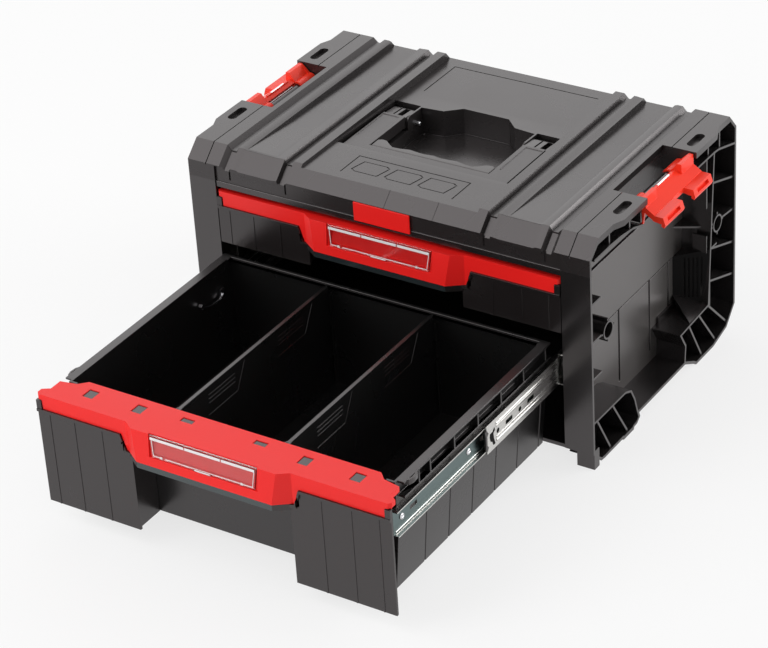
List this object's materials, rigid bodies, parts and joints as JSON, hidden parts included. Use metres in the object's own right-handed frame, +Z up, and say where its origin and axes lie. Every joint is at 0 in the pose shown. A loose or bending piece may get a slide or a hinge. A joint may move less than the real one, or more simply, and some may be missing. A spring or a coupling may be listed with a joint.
{
  "type": "stackable drawer tool box",
  "caption": "Stackable plastic tool box with full-width drawers on ball runners, removable dividers, hinged label windows, a folding carry handle and fold-out side latches.",
  "frame": {"origin": "centre of the closed case's footprint, on the floor", "axes": "+X to the right seen from the front, front towards -Y, +Z up"},
  "size_m": [0.496, 0.6112, 0.246],
  "materials": {
    "case_plastic": "fine-grained dark grey polypropylene",
    "badge_plastic": "smooth red",
    "handle_plastic": "dark grey, as the lid",
    "grip_plastic": "dark grey, as the handle",
    "pin_steel": "bright drawn wire",
    "latch_plastic": "smooth red",
    "drawer_plastic": "black, lightly grained",
    "cap_plastic": "satin red",
    "window_plastic": "clear polycarbonate",
    "divider_plastic": "black sheet with raised lines",
    "runner_steel": "zinc-plated sheet"
  },
  "bodies": {
    "case": {"cabinet_shell": "case_plastic", "left_side_frame": "case_plastic", "right_side_frame": "case_plastic", "top_cover": "case_plastic", "badge_plate": "badge_plastic", "handle_hinge_pins": "pin_steel", "left_latch_bar": "pin_steel", "right_latch_bar": "pin_steel", "lower_left_cabinet_rail": "runner_steel", "lower_right_cabinet_rail": "runner_steel", "upper_left_cabinet_rail": "runner_steel", "upper_right_cabinet_rail": "runner_steel"},
    "carry_handle": {"carry_handle": "handle_plastic", "handle_grip_insert": "grip_plastic"},
    "right_latch": {"right_latch": "latch_plastic"},
    "left_latch": {"left_latch": "latch_plastic"},
    "lower_drawer": {"lower_drawer_box": "drawer_plastic", "lower_drawer_front": "drawer_plastic", "lower_drawer_cap": "cap_plastic", "left_divider": "divider_plastic", "right_divider": "divider_plastic", "divider_clip": "pin_steel", "lower_left_drawer_rail": "runner_steel", "lower_right_drawer_rail": "runner_steel"},
    "lower_runner_middles": {"lower_left_middle_rail": "runner_steel", "lower_right_middle_rail": "runner_steel"},
    "lower_label_window": {"lower_label_window": "window_plastic"},
    "upper_drawer": {"upper_drawer_box": "drawer_plastic", "upper_drawer_front": "drawer_plastic", "upper_drawer_cap": "cap_plastic", "upper_left_drawer_rail": "runner_steel", "upper_right_drawer_rail": "runner_steel"},
    "upper_runner_middles": {"upper_left_middle_rail": "runner_steel", "upper_right_middle_rail": "runner_steel"},
    "upper_label_window": {"upper_label_window": "window_plastic"}
  },
  "joints": [
    {"name": "carry_handle_hinge", "type": "hinge", "parent": "case", "child": "carry_handle", "pos_m": [0, 0.0205, 0.2265], "axis": [-1, 0, 0], "range_deg": [0, 90]},
    {"name": "right_latch_hinge", "type": "hinge", "parent": "case", "child": "right_latch", "pos_m": [0.213, 0.00375, 0.2295], "axis": [0, 1, 0], "range_deg": [-60, 90]},
    {"name": "left_latch_hinge", "type": "hinge", "parent": "case", "child": "left_latch", "pos_m": [-0.213, 0.00375, 0.2295], "axis": [0, -1, 0], "range_deg": [-60, 90]},
    {"name": "lower_drawer_slide", "type": "slide", "parent": "case", "child": "lower_drawer", "axis": [0, 1, 0], "range_m": [0, 0.3008]},
    {"name": "lower_middles_slide", "type": "slide", "parent": "case", "child": "lower_runner_middles", "axis": [0, 1, 0], "range_m": [0, 0.1504]},
    {"name": "lower_window_hinge", "type": "hinge", "parent": "lower_drawer", "child": "lower_label_window", "pos_m": [0, -0.45715, 0.1354], "axis": [-1, 0, 0], "range_deg": [0, 90]},
    {"name": "upper_drawer_slide", "type": "slide", "parent": "case", "child": "upper_drawer", "axis": [0, -1, 0], "range_m": [0, 0.3008]},
    {"name": "upper_middles_slide", "type": "slide", "parent": "case", "child": "upper_runner_middles", "axis": [0, -1, 0], "range_m": [0, 0.1504]},
    {"name": "upper_window_hinge", "type": "hinge", "parent": "upper_drawer", "child": "upper_label_window", "pos_m": [0, -0.15635, 0.2004], "axis": [-1, 0, 0], "range_deg": [0, 90]}
  ],
  "couplings": [
    {"joint": "lower_middles_slide", "follows": "lower_drawer_slide", "ratio": 0.5},
    {"joint": "upper_middles_slide", "follows": "upper_drawer_slide", "ratio": 0.5}
  ]
}
